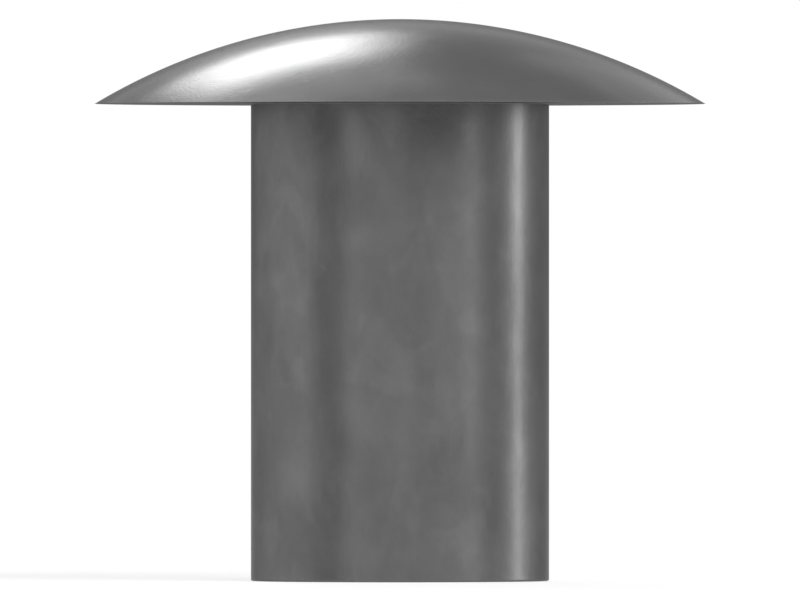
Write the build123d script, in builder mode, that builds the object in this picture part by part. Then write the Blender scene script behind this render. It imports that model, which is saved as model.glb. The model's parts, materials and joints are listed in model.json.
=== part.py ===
"""One-piece hollow rivet with a wide domed head.

The rivet is headed and bored from one length of wire. A shallow spherical crown runs out
to a sharp rim, a flat bearing face lies under the head, and a plain tube of a shank hangs
from it. The shank is bored from its tail right up to the bearing face, so that its thin
wall can be rolled out over the far side of the work. The crown itself is closed.

The origin is the centre of the bearing face. +Z runs up the axis, out through the head.
"""

from build123d import *
from math import radians, tan
import os

# Driving dimensions, in millimetres and degrees
shank_diameter = 5.0  # outside of the tube
shank_length = 8.0  # bearing face to tail end
head_diameter = 10.24  # across the sharp rim
head_height = 1.42  # bearing face to the top of the crown
wall_thickness = 0.5  # of the tube
bore_point_angle = 140.0  # included angle of the bore's blunt point, inside the head
mouth_chamfer = 0.1  # on the bore's edge at the tail, where the flaring tool enters

# Worked out from them
shank_radius = shank_diameter / 2
head_radius = head_diameter / 2
bore_radius = shank_radius - wall_thickness
bore_point_height = bore_radius / tan(radians(bore_point_angle / 2))
crown_radius = (head_radius**2 + head_height**2) / (2 * head_height)

with BuildPart() as rivet:
    # Head: the half section under the crown's arc, turned about the axis
    with BuildSketch(Plane.XZ):
        with BuildLine():
            crown_top = (0, head_height)
            rim = (head_radius, 0)
            RadiusArc(crown_top, rim, crown_radius)
            Polyline(rim, (0, 0), crown_top)
        make_face()
    revolve(axis=Axis.Z)

    # Shank: a plain cylinder from the bearing face down to the tail
    with BuildSketch(Plane.XY):
        Circle(shank_radius)
    extrude(amount=-shank_length)

    # Bore: a blind hole up from the tail, its straight wall ending level with the bearing face
    with BuildSketch(Plane.XZ):
        with BuildLine():
            Polyline(
                (0, -shank_length),
                (bore_radius, -shank_length),
                (bore_radius, 0),
                (0, bore_point_height),
                close=True,
            )
        make_face()
    revolve(axis=Axis.Z, mode=Mode.SUBTRACT)

    # Mouth: a lead-in on the inner edge of the tail
    tail_edges = rivet.edges().filter_by(GeomType.CIRCLE).group_by(Axis.Z)[0]
    chamfer(tail_edges.sort_by(SortBy.RADIUS)[0], length=mouth_chamfer)

rivet.part.label = "rivet"

os.makedirs("parts", exist_ok=True)
export_step(rivet.part, "parts/rivet.step")
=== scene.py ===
"""Dresses the hollow rivet: a fine lathed mesh in place of the CAD node, satin steel, and a
small white studio. Everything is in metres, in the row frame."""

import json
import math
import random

import bpy
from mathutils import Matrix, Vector


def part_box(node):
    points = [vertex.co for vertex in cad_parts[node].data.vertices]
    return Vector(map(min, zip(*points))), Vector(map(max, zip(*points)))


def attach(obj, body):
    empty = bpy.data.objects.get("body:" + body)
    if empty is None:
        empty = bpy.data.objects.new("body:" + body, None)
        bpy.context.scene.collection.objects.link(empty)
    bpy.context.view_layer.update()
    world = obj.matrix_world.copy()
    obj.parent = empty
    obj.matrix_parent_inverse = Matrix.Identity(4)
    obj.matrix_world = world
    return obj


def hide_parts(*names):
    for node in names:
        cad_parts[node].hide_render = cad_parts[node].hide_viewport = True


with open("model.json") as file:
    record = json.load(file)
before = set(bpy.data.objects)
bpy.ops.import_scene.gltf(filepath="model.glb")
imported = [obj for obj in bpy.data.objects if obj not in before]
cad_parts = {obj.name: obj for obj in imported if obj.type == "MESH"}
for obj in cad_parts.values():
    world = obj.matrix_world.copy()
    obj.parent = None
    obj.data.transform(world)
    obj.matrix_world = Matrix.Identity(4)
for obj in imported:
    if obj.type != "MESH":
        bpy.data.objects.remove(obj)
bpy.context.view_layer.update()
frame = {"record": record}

MM = 0.001
BODY = "root"
NODE = "rivet"

# ---------------------------------------------------------------- sizes, from the frame
mounts = {m["name"]: m for m in frame["record"]["mounts"]}
node_low, node_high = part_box(NODE)
head_radius = node_high.x
head_height = node_high.z
tail_z = node_low.z
shank_radius = mounts["shank"]["dims"]["r_mm"] * MM
bore_radius = mounts["bore"]["dims"]["r_mm"] * MM
bore_point_half_angle = math.radians(70.0)
bore_point_z = bore_radius / math.tan(bore_point_half_angle)
mouth_chamfer = 0.1 * MM
rim_land = 0.003 * MM  # the flat left on the knife edge of the head
tail_break = 0.03 * MM  # the tail's outer edge, just off sharp
neck_fillet = 0.008 * MM  # where the shank meets the head
past_round = 1.2  # a ring this many radii along keeps a small round from tilting the face beside it
crown_radius = (head_radius**2 + head_height**2) / (2 * head_height)
centre = Vector((0, 0, (head_height + tail_z) / 2))

# ---------------------------------------------------------------- mesh
SEGMENTS = 256  # faces round the rivet
CROWN_RINGS = 96
RIM_START = 0.9995  # the share of the crown's arc where the rim's land begins
FLANGE_RINGS = 24
ROUND_STEPS = 4  # faces across the neck's fillet and the tail's broken edge
SHANK_RINGS = 110
TAIL_RINGS = 4
MOUTH_RINGS = 3
BORE_RINGS = 40
POINT_RINGS = 24
SHARP_ANGLE = math.radians(25)


def crown_point(t):
    """A point of the crown's arc, from its top at t = 0 to the rim at t = 1."""
    angle = math.asin(head_radius / crown_radius) * t
    return crown_radius * math.sin(angle), head_height - crown_radius * (1 - math.cos(angle))


def straight(start, end, count):
    """Points from start up to, but without, end."""
    return [
        (start[0] + (end[0] - start[0]) * i / count, start[1] + (end[1] - start[1]) * i / count)
        for i in range(count)
    ]


def quarter():
    """The sine and cosine at each step of a quarter turn."""
    turns = [math.pi / 2 * i / ROUND_STEPS for i in range(ROUND_STEPS + 1)]
    return [(math.sin(a), math.cos(a)) for a in turns]


def section():
    """The rivet's half section as (radius, z), from the top of the crown round to the bore's point."""
    neck = (shank_radius + past_round * neck_fillet, 0.0)
    shank_top = (shank_radius, -past_round * neck_fillet)
    shank_foot = (shank_radius, tail_z + past_round * tail_break)
    mouth = (bore_radius + mouth_chamfer, tail_z)
    bore_foot = (bore_radius, tail_z + mouth_chamfer)
    bore_top = (bore_radius, 0.0)

    points = [crown_point(i / CROWN_RINGS) for i in range(1, CROWN_RINGS)]
    points += [crown_point(RIM_START), (head_radius, rim_land), (head_radius, 0.0)]
    points += straight((head_radius - rim_land, 0.0), neck, FLANGE_RINGS)
    points.append(neck)
    points += [(shank_radius + neck_fillet * (1 - s), -neck_fillet * (1 - c)) for s, c in quarter()]
    points += straight(shank_top, shank_foot, SHANK_RINGS)
    points.append(shank_foot)
    points += [(shank_radius - tail_break * (1 - c), tail_z + tail_break * (1 - s)) for s, c in quarter()]
    points += straight((shank_radius - 2 * tail_break, tail_z), mouth, TAIL_RINGS)
    points += straight(mouth, bore_foot, MOUTH_RINGS)
    points += straight(bore_foot, bore_top, BORE_RINGS)
    points += straight(bore_top, (0.0, bore_point_z), POINT_RINGS)
    return points


def lathe(name, points):
    """Turns a section about Z into a closed mesh, with a pole at each end."""
    rings = len(points)
    angles = [2 * math.pi * i / SEGMENTS for i in range(SEGMENTS)]
    verts = [(r * math.cos(a), r * math.sin(a), z) for r, z in points for a in angles]
    top = len(verts)
    verts += [(0.0, 0.0, head_height), (0.0, 0.0, bore_point_z)]
    faces = []
    for i in range(rings - 1):
        for j in range(SEGMENTS):
            k = (j + 1) % SEGMENTS
            faces.append((i * SEGMENTS + j, (i + 1) * SEGMENTS + j, (i + 1) * SEGMENTS + k, i * SEGMENTS + k))
    last = (rings - 1) * SEGMENTS
    for j in range(SEGMENTS):
        k = (j + 1) % SEGMENTS
        faces.append((top, j, k))
        faces.append((top + 1, last + k, last + j))
    mesh = bpy.data.meshes.new(name)
    mesh.from_pydata(verts, [], faces)
    mesh.validate()
    mesh.shade_smooth()
    mesh.set_sharp_from_angle(angle=SHARP_ANGLE)
    piece = bpy.data.objects.new(name, mesh)
    bpy.context.scene.collection.objects.link(piece)
    return piece


# ---------------------------------------------------------------- values kept on the mesh
CROWN_ROUGHNESS = 0.20
SHANK_ROUGHNESS = 0.30
BEARING_ROUGHNESS = 0.60
TAIL_ROUGHNESS = 0.36
BORE_ROUGHNESS = 0.42
WEAR_REACH = 0.05 * MM
TINY = 1e-7
mid_wall = (bore_radius + shank_radius) / 2
crown_only = 0.6 * head_height  # above this there is the crown alone, past the bore's point
shank_skin = 0.02 * shank_radius  # how far off its radius a point still counts as the shank's

MARKS = 64
MARK_SEED = 4
MARK_HEIGHT = (-7.9, -0.2)  # this and the next two in millimetres
MARK_WIDE = (0.18, 0.45)
MARK_HIGH = (0.18, 0.7)
MARK_DEPTH = (0.05, 0.12)  # as a share of the steel's tone


def surface_values(x, y, z):
    """Roughness, lengthwise grain and edge wear at a point of the rivet."""
    r = math.hypot(x, y)
    outside = r > mid_wall
    if z > TINY and (outside or z > crown_only):
        rough, grain = CROWN_ROUGHNESS, 0.0
    elif abs(z) < TINY and r > shank_radius + TINY:
        rough, grain = BEARING_ROUGHNESS, 0.0
    elif z < tail_z + TINY:
        rough, grain = TAIL_ROUGHNESS, 0.0
    elif outside:
        rough, grain = SHANK_ROUGHNESS, 1.0
    else:
        rough, grain = BORE_ROUGHNESS, 1.0
    to_rim = math.hypot(head_radius - r, z)
    to_tail = math.hypot(shank_radius - r, z - tail_z)
    to_mouth = math.hypot(bore_radius + mouth_chamfer - r, z - tail_z)
    wear = math.exp(-min(to_rim, to_tail, to_mouth) / WEAR_REACH)
    return rough, grain, wear


def drawn_marks():
    """Stains and smears all round the shank, drawn by chance from a fixed seed."""
    draw = random.Random(MARK_SEED)
    marks = []
    for _ in range(MARKS):
        azimuth = draw.uniform(0, 2 * math.pi)
        height = draw.uniform(*MARK_HEIGHT) * MM
        wide = draw.uniform(*MARK_WIDE) * MM
        high = draw.uniform(*MARK_HIGH) * MM
        depth = draw.choice((-1, 1)) * draw.uniform(*MARK_DEPTH)
        marks.append((azimuth, height, wide, high, depth))
    return marks


def marks_at(x, y, z, marks):
    """The share by which the marks lighten or darken a point of the shank."""
    azimuth = math.atan2(x, -y)
    total = 0.0
    for place, height, wide, high, depth in marks:
        across = math.remainder(azimuth - place, 2 * math.pi) * shank_radius / wide
        along = (z - height) / high
        total += depth * math.exp(-across * across - along * along)
    return total


def on_shank(x, y, z):
    return tail_z + TINY < z < TINY and abs(math.hypot(x, y) - shank_radius) < shank_skin


def add_surface_values(mesh):
    """Writes the values onto the mesh's points, for the material to read."""
    names = ("roughness", "grain", "wear", "marks")
    for name in names:
        mesh.attributes.new(name, "FLOAT", "POINT")
    marks = drawn_marks()
    columns = [[], [], [], []]
    for vertex in mesh.vertices:
        x, y, z = vertex.co
        mark = marks_at(x, y, z, marks) if on_shank(x, y, z) else 0.0
        for column, value in zip(columns, (*surface_values(x, y, z), mark)):
            column.append(value)
    for name, column in zip(names, columns):
        mesh.attributes[name].data.foreach_set("value", column)


# ---------------------------------------------------------------- nodes
class Graph:
    """The nodes of a material or world, with short ways to add the ones used here."""

    def __init__(self, owner):
        owner.use_nodes = True
        self.nodes, self.links = owner.node_tree.nodes, owner.node_tree.links

    def feed(self, socket, value):
        if isinstance(value, bpy.types.NodeSocket):
            self.links.new(value, socket)
        else:
            socket.default_value = value

    def math(self, operation, a, b=0.0, clamp=False):
        node = self.nodes.new("ShaderNodeMath")
        node.operation = operation
        node.use_clamp = clamp
        self.feed(node.inputs[0], a)
        self.feed(node.inputs[1], b)
        return node.outputs[0]

    def multiply_add(self, value, factor, extra):
        node = self.nodes.new("ShaderNodeMath")
        node.operation = "MULTIPLY_ADD"
        for socket, item in zip(node.inputs, (value, factor, extra)):
            self.feed(socket, item)
        return node.outputs[0]

    def ramp(self, value, start, end, low=0.0, high=1.0):
        """Goes smoothly from low to high as the value goes from start to end."""
        node = self.nodes.new("ShaderNodeMapRange")
        node.interpolation_type = "SMOOTHSTEP"
        self.feed(node.inputs["Value"], value)
        for name, number in (("From Min", start), ("From Max", end), ("To Min", low), ("To Max", high)):
            self.feed(node.inputs[name], number)
        return node.outputs[0]

    def from_low_to_one(self, value, low):
        """Goes evenly from low to 1 as the value goes from 0 to 1."""
        node = self.nodes.new("ShaderNodeMapRange")
        self.feed(node.inputs["To Min"], low)
        self.feed(node.inputs["Value"], value)
        return node.outputs[0]

    def mix_shaders(self, share, first, second):
        node = self.nodes.new("ShaderNodeMixShader")
        for socket, value in zip(node.inputs, (share, first, second)):
            self.links.new(value, socket)
        return node.outputs[0]

    def attribute(self, name):
        node = self.nodes.new("ShaderNodeAttribute")
        node.attribute_name = name
        return node.outputs["Fac"]

    def millimetres(self, stretch=(1.0, 1.0, 1.0), shift=(0.0, 0.0, 0.0)):
        """The rivet's own coordinates in millimetres. Patterns grow longer along Z with a smaller Z.
        The shift is an arbitrary offset that keeps two patterns from falling together."""
        place = self.nodes.new("ShaderNodeTexCoord")
        node = self.nodes.new("ShaderNodeMapping")
        self.links.new(place.outputs["Object"], node.inputs["Vector"])
        node.inputs["Scale"].default_value = [k / MM for k in stretch]
        node.inputs["Location"].default_value = shift
        return node.outputs[0]

    def noise(self, vector, size, detail=2.0, roughness=0.5, distortion=0.0):
        """Noise about 0.5, its features about size millimetres across."""
        node = self.nodes.new("ShaderNodeTexNoise")
        self.links.new(vector, node.inputs["Vector"])
        node.inputs["Scale"].default_value = 1 / size
        node.inputs["Detail"].default_value = detail
        node.inputs["Roughness"].default_value = roughness
        node.inputs["Distortion"].default_value = distortion
        return node.outputs["Fac"]

    def swing(self, noise, amount):
        """Noise brought about zero, and scaled."""
        return self.math("MULTIPLY", self.math("SUBTRACT", noise, 0.5), amount)

    def cells(self, vector, size):
        """The distance to the nearest of points strewn about size millimetres apart."""
        node = self.nodes.new("ShaderNodeTexVoronoi")
        self.links.new(vector, node.inputs["Vector"])
        node.inputs["Scale"].default_value = 1 / size
        return node.outputs["Distance"]

    def bump(self, height, distance, normal=None):
        node = self.nodes.new("ShaderNodeBump")
        node.inputs["Strength"].default_value = 1.0
        node.inputs["Distance"].default_value = distance
        self.links.new(height, node.inputs["Height"])
        if normal is not None:
            self.links.new(normal, node.inputs["Normal"])
        return node.outputs[0]


# ---------------------------------------------------------------- steel
STEEL = 0.135  # how much of the light it returns, seen straight on
STEEL_EDGE = 0.5  # the same at a glancing angle, as a share of white
ALONG = (1, 1, 0.6)  # draws a pattern out along the rivet

# the tone, as shares of its mean, and sizes in millimetres
BROAD_SIZE, BROAD_CLOUDS = 2.3, 0.12
MIDDLE_SIZE, MIDDLE_CLOUDS = 0.85, 0.55
PATCH_SIZE, PATCHES = 0.8, 0.09
PATCH_EDGE = (0.52, 0.64)  # the values of the noise between which a patch fades in
SPECK_SIZE, SPECKS = 0.7, 0.06
SPECK_EDGE = (0.02, 0.12)
CROWN_SHARE = 0.3  # how much of the clouds the crown shows, where the shank shows all
HAIRLINE_TONE = 0.04
WEAR_TONE = 0.12

HAIRLINE_WIDTH = 0.035 * MM
HAIRLINE_LENGTH = 1.3 * MM
HAIRLINE_EDGE = (0.78, 0.84)
HAIRLINES = [((0.15, 0.1, 0), 3.0), ((1.2, 0.4, 0.3), 5.0), ((0.5, 1.3, 0.2), 8.0)]  # tilt, shift

UNEVEN_SIZE, UNEVEN_ROUGHNESS = 0.5, 0.07
WEAR_POLISH = 0.01

RIPPLE_SIZE, RIPPLE_HEIGHT = 0.05, 0.0014 * MM
DRAWN_SIZE, DRAWN_SHARE = 0.05, 0.5  # long drawing lines, as a share of the ripple
DRAWN_ALONG = (1, 1, 0.03)
HAIRLINE_SINK = 0.3  # how deep the hairlines are, as a share of the ripple
WAVE_SIZE, WAVE_HEIGHT = 0.7, 0.0025 * MM


def clouds(g, grain):
    """The steel's uneven tone, as a share of its mean: soft clouds drawn out along the rivet,
    paler patches with a clearer edge, and a few dark specks. The crown shows less of it."""
    broad = g.noise(g.millimetres(ALONG, (0.3, 6.1, 4.9)), BROAD_SIZE, 1.0, 0.5, 0.2)
    middle = g.noise(g.millimetres(ALONG), MIDDLE_SIZE, 4.0, 0.66, 0.3)
    patch = g.noise(g.millimetres((1, 1, 0.75), (9.4, 2.2, 5.8)), PATCH_SIZE, 3.0, 0.5, 0.5)
    speck = g.cells(g.millimetres((1, 1, 0.8), (1.5, 0.4, 2.6)), SPECK_SIZE)
    total = g.math("ADD", g.swing(broad, BROAD_CLOUDS), g.swing(middle, MIDDLE_CLOUDS))
    total = g.math("ADD", total, g.ramp(patch, *PATCH_EDGE, 0.0, PATCHES))
    total = g.math("ADD", total, g.ramp(speck, *SPECK_EDGE, -SPECKS, 0.0))
    share = g.multiply_add(grain, 1 - CROWN_SHARE, CROWN_SHARE)
    return g.math("ADD", g.math("MULTIPLY", total, share), 1.0)


def hairlines(g):
    """1 along thin, short, nearly straight hairlines, 0 elsewhere."""
    place = g.nodes.new("ShaderNodeTexCoord")
    lines = 0.0
    for tilt, shift in HAIRLINES:
        node = g.nodes.new("ShaderNodeMapping")
        node.vector_type = "TEXTURE"
        g.links.new(place.outputs["Object"], node.inputs["Vector"])
        node.inputs["Location"].default_value = (shift * MM, 0, 0)
        node.inputs["Rotation"].default_value = tilt
        node.inputs["Scale"].default_value = (HAIRLINE_WIDTH, HAIRLINE_WIDTH, HAIRLINE_LENGTH)
        streak = g.noise(node.outputs[0], 1.0, 0.0)
        lines = g.math("MAXIMUM", lines, g.ramp(streak, *HAIRLINE_EDGE))
    return lines


def steel_tone(g, grain, wear, lines):
    """The share of light that the steel returns, with its clouds, hairlines, wear and marks."""
    tone = g.math("ADD", clouds(g, grain), g.math("MULTIPLY", lines, HAIRLINE_TONE))
    tone = g.math("ADD", tone, g.math("MULTIPLY", wear, WEAR_TONE))
    tone = g.math("ADD", tone, g.attribute("marks"))
    return g.math("MULTIPLY", tone, STEEL)


def steel_roughness(g, wear):
    uneven = g.noise(g.millimetres(ALONG, (2.0, 5.0, 3.0)), UNEVEN_SIZE, 4.0, 0.6)
    rough = g.math("ADD", g.attribute("roughness"), g.swing(uneven, UNEVEN_ROUGHNESS))
    return g.math("SUBTRACT", rough, g.math("MULTIPLY", wear, WEAR_POLISH))


def steel_relief(g, grain, lines):
    """A fine ripple with drawing lines and hairlines in it, over slow waves."""
    ripple = g.noise(g.millimetres(ALONG), RIPPLE_SIZE, 2.0, 0.6)
    drawn = g.noise(g.millimetres(DRAWN_ALONG, (0.7, 0.2, 0.4)), DRAWN_SIZE, 2.0, 0.5)
    height = g.math("ADD", ripple, g.math("MULTIPLY", g.math("MULTIPLY", drawn, grain), DRAWN_SHARE))
    height = g.math("SUBTRACT", height, g.math("MULTIPLY", lines, HAIRLINE_SINK))
    waves = g.noise(g.millimetres((1, 1, 0.8), (5.0, 8.0, 2.0)), WAVE_SIZE, 2.0)
    return g.bump(waves, WAVE_HEIGHT, g.bump(height, RIPPLE_HEIGHT))


def steel_material():
    material = bpy.data.materials.new("steel")
    g = Graph(material)
    shader = g.nodes["Principled BSDF"]
    shader.inputs["Metallic"].default_value = 1.0
    shader.inputs["Specular Tint"].default_value = (STEEL_EDGE, STEEL_EDGE, STEEL_EDGE, 1.0)
    wear, grain = g.attribute("wear"), g.attribute("grain")
    lines = hairlines(g)
    colour = g.nodes.new("ShaderNodeCombineColor")
    tone = steel_tone(g, grain, wear, lines)
    for channel in colour.inputs:
        g.links.new(tone, channel)
    g.links.new(colour.outputs[0], shader.inputs["Base Color"])
    g.links.new(steel_roughness(g, wear), shader.inputs["Roughness"])
    g.links.new(steel_relief(g, grain, lines), shader.inputs["Normal"])
    return material


# ---------------------------------------------------------------- lamps, sheets and cards
LAMP_DISTANCE = 0.30
SHEET_GRID = 10  # faces along each side of a sheet, which bends round the rivet

KEY_SHAPE = [(-15, 20), (45, 5), (120, 35), (-15, 45)]  # a long sheet, leaning over to the right
KEY_LEVEL = 10
KEY_FADE = (0.4, 0.4, 0.5, 0.4)
BACK_SHAPE = [(178, 24), (196, 25), (207, 47), (178, 44)]  # the crown mirrors this one
BACK_LEVEL = 12
BACK_FADE = (0.35, 0.4, 0.2, 0.25)


def direction(azimuth, elevation):
    """Azimuth 0 is towards the camera, -Y, and 90 is to its right, +X."""
    a, e = math.radians(azimuth), math.radians(elevation)
    return Vector((math.sin(a) * math.cos(e), -math.cos(a) * math.cos(e), math.sin(e)))


def span(angle, distance):
    """The width that fills an angle at a distance."""
    return 2 * distance * math.tan(math.radians(angle) / 2)


def softbox(name, azimuth, elevation, wide, high, radiance):
    """A rectangular lamp, its size given as the angle that it fills. Its power follows from its radiance."""
    data = bpy.data.lights.new(name, "AREA")
    data.shape = "RECTANGLE"
    data.size, data.size_y = span(wide, LAMP_DISTANCE), span(high, LAMP_DISTANCE)
    data.energy = radiance * 4 * data.size * data.size_y
    lamp = bpy.data.objects.new(name, data)
    aim = direction(azimuth, elevation)
    lamp.location = centre + aim * LAMP_DISTANCE
    lamp.rotation_mode = "QUATERNION"
    lamp.rotation_quaternion = aim.to_track_quat("Z", "Y")
    lamp.visible_camera = False
    bpy.context.scene.collection.objects.link(lamp)
    return lamp


def glow_material(name, level, fade):
    """An even glow, which falls off to white, 1, towards the sheet's edges where it fades."""
    material = bpy.data.materials.new(name)
    g = Graph(material)
    g.nodes.remove(g.nodes["Principled BSDF"])
    glow = g.nodes.new("ShaderNodeEmission")
    glow.inputs["Strength"].default_value = level
    g.links.new(glow.outputs[0], g.nodes["Material Output"].inputs["Surface"])
    if fade is None:
        return material
    place = g.nodes.new("ShaderNodeUVMap")
    place.uv_map = "place"
    split = g.nodes.new("ShaderNodeSeparateXYZ")
    g.links.new(place.outputs[0], split.inputs[0])
    across, up = split.outputs["X"], split.outputs["Y"]
    left, right, foot, top = fade
    share = g.math("MULTIPLY", g.ramp(across, 0, left), g.ramp(across, 1, 1 - right))
    share = g.math("MULTIPLY", share, g.ramp(up, 0, foot))
    share = g.math("MULTIPLY", share, g.ramp(up, 1, 1 - top))
    g.links.new(g.from_low_to_one(share, 1 / level), glow.inputs["Color"])
    return material


def sheet(name, corners, level, fade=None, lights_matt=False):
    """A glowing sheet between four bearings (azimuth, elevation), hidden from the camera. Fade is the
    share of its width and height over which it fades: left, right, foot, top."""
    foot_left, foot_right, top_right, top_left = (Vector(c) for c in corners)
    places, points = [], []
    for j in range(SHEET_GRID + 1):
        for i in range(SHEET_GRID + 1):
            u, v = i / SHEET_GRID, j / SHEET_GRID
            bearing = foot_left.lerp(foot_right, u).lerp(top_left.lerp(top_right, u), v)
            places.append((u, v))
            points.append(centre + direction(*bearing) * LAMP_DISTANCE)
    row = SHEET_GRID + 1
    faces = [
        (j * row + i, j * row + i + 1, (j + 1) * row + i + 1, (j + 1) * row + i)
        for j in range(SHEET_GRID)
        for i in range(SHEET_GRID)
    ]
    mesh = bpy.data.meshes.new(name)
    mesh.from_pydata(points, [], faces)
    uv = mesh.uv_layers.new(name="place")
    for loop, item in zip(mesh.loops, uv.data):
        item.uv = places[loop.vertex_index]
    mesh.materials.append(glow_material(name, level, fade))
    thing = bpy.data.objects.new(name, mesh)
    bpy.context.scene.collection.objects.link(thing)
    thing.visible_camera = False
    thing.visible_diffuse = lights_matt
    thing.visible_shadow = False
    return thing


def card(name, azimuth, elevation, wide, high, level):
    """A grey card that only the metal sees."""
    left, right = azimuth - wide / 2, azimuth + wide / 2
    low, top = elevation - high / 2, elevation + high / 2
    sheet(name, [(left, low), (right, low), (right, top), (left, top)], level)


def light_studio():
    """Lamps, sheets and cards, each by its bearing from the rivet and its spread, in degrees."""
    # the plain light that matt things get, and the sheet that the metal shows in its place
    softbox("key", 35, 32, 50, 24, 6).visible_glossy = False
    sheet("card_key", KEY_SHAPE, KEY_LEVEL, KEY_FADE)
    # the bright line down the right of the shank
    softbox("strip", 104, 6, 5, 14, 9)
    # a broad, weak light on the left, and the open room behind
    softbox("left_fill", -85, 25, 50, 25, 1.5)
    softbox("rear_left", -130, 15, 45, 15, 0.8)
    softbox("rear_right", 160, 25, 20, 25, 0.4)
    softbox("back_glow", -155, 50, 35, 20, 0.65)
    # the highlight on the head
    sheet("card_back", BACK_SHAPE, BACK_LEVEL, BACK_FADE, lights_matt=True)
    # two faint lights that lift the shank on either side of its dark bands
    softbox("slit_right", 57, 5, 8, 12, 0.55)
    softbox("slit_left", -36, 5, 12, 12, 0.3)
    # grey cards low down, which keep the white room out of the shank
    card("card_left", -58, 3, 26, 12, 0.1)
    card("card_near", -12, 3, 30, 10, 0.75)
    card("card_front", 28, 3, 44, 10, 0.2)
    card("card_right", 76, 3, 24, 10, 0.3)
    card("card_rear_right", 135, 4, 35, 15, 0.7)
    card("card_behind", 183, 7, 55, 15, 0.35)


# ---------------------------------------------------------------- room, floor and camera
ROOM_LIGHT = 0.15  # the room's level for matt things, where the metal and the camera see white
FLOOR_HALF = 1.5
FLOOR_COLOUR = 0.35
FLOOR_GLOW = 0.72
FLOOR_GAP = 0.002 * MM  # keeps the floor out of the plane of the tail face
FLOOR_TURNS_WHITE = (0.02, 0.07)  # from and to these distances

VIEW_WIDTH = 1.31 * 2 * head_radius  # what the frame takes in across the rivet
SENSOR_WIDTH = 36.0
LENS = 1250.0  # long, for a flat view of the rim; past 1300 the side views' far clip cuts the rivet off
CLIP_START, CLIP_END = 0.01, 10.0


def white_rays(g):
    """1 for the rays that show the background: camera, glossy and transmission."""
    path = g.nodes.new("ShaderNodeLightPath")
    rays = g.math("ADD", path.outputs["Is Camera Ray"], path.outputs["Is Glossy Ray"])
    return g.math("ADD", rays, path.outputs["Is Transmission Ray"], clamp=True)


def set_world():
    world = bpy.data.worlds.new("studio")
    bpy.context.scene.world = world
    g = Graph(world)
    background = g.nodes["Background"]
    background.inputs["Color"].default_value = (1, 1, 1, 1)
    g.links.new(g.from_low_to_one(white_rays(g), ROOM_LIGHT), background.inputs["Strength"])


def floor_material():
    """Keeps the rivet's shadow nearby, turns into the white of the background further off, and
    isn't there from below, so that the rivet's underside can be looked at."""
    material = bpy.data.materials.new("floor_white")
    g = Graph(material)
    shader = g.nodes["Principled BSDF"]
    shader.inputs["Base Color"].default_value = (FLOOR_COLOUR, FLOOR_COLOUR, FLOOR_COLOUR, 1)
    shader.inputs["Roughness"].default_value = 1.0
    shader.inputs["Specular IOR Level"].default_value = 0.0
    shader.inputs["Emission Color"].default_value = (1, 1, 1, 1)
    shows = white_rays(g)
    g.links.new(g.math("MULTIPLY", shows, FLOOR_GLOW), shader.inputs["Emission Strength"])
    place = g.nodes.new("ShaderNodeNewGeometry")
    length = g.nodes.new("ShaderNodeVectorMath")
    length.operation = "LENGTH"
    g.links.new(place.outputs["Position"], length.inputs[0])
    far = g.math("MULTIPLY", shows, g.ramp(length.outputs["Value"], *FLOOR_TURNS_WHITE))
    white = g.nodes.new("ShaderNodeEmission")
    clear = g.nodes.new("ShaderNodeBsdfTransparent")
    above = g.mix_shaders(far, shader.outputs[0], white.outputs[0])
    one_sided = g.mix_shaders(place.outputs["Backfacing"], above, clear.outputs[0])
    g.links.new(one_sided, g.nodes["Material Output"].inputs["Surface"])
    return material


def make_floor():
    level = tail_z - FLOOR_GAP
    sides = [(-1, -1), (1, -1), (1, 1), (-1, 1)]
    mesh = bpy.data.meshes.new("floor")
    mesh.from_pydata([(x * FLOOR_HALF, y * FLOOR_HALF, level) for x, y in sides], [], [(0, 1, 2, 3)])
    mesh.materials.append(floor_material())
    floor = bpy.data.objects.new("floor", mesh)
    bpy.context.scene.collection.objects.link(floor)


def make_camera():
    data = bpy.data.cameras.new("camera")
    data.sensor_width = SENSOR_WIDTH
    data.lens = LENS
    data.clip_start, data.clip_end = CLIP_START, CLIP_END
    camera = bpy.data.objects.new("camera", data)
    bpy.context.scene.collection.objects.link(camera)
    camera.location = centre + Vector((0, -LENS / SENSOR_WIDTH * VIEW_WIDTH, 0))
    camera.rotation_euler = (math.pi / 2, 0, 0)
    bpy.context.scene.camera = camera


rivet = lathe("rivet_body", section())
add_surface_values(rivet.data)
rivet.data.materials.append(steel_material())
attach(rivet, BODY)
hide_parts(NODE)
make_floor()
set_world()
light_studio()
make_camera()
bpy.context.scene.view_settings.view_transform = "Standard"
